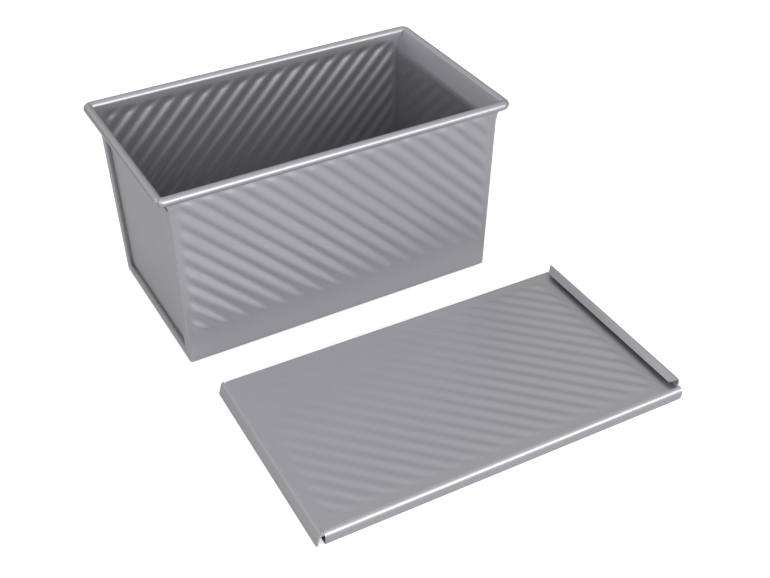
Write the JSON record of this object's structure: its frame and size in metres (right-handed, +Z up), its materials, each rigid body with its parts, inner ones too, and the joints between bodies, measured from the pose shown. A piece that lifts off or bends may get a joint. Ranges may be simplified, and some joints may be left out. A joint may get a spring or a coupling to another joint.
{
  "type": "pullman loaf pan",
  "caption": "Oblong ribbed sheet-steel loaf pan with a rolled wired rim and a ribbed lid that slides along the rim in folded channels.",
  "frame": {"origin": "middle of the pan's flat underside", "axes": "+X along the pan towards the lid's grip end, +Y towards the pan's back wall (the lid lies on the -Y side), +Z up"},
  "size_m": [0.23, 0.2718, 0.1143],
  "materials": {
    "coated_steel": "satin grey release coating",
    "wire_steel": "drawn"
  },
  "bodies": {
    "pan": {"trough": "coated_steel", "end_panel_left": "coated_steel", "end_panel_right": "coated_steel", "rim_wire": "wire_steel"},
    "lid": {"lid": "coated_steel"}
  },
  "joints": [
    {"name": "lid_slide", "type": "slide", "parent": "pan", "child": "lid", "axis": [0.9999, -0.0173, 0], "range_m": [-0.214, 0]}
  ]
}
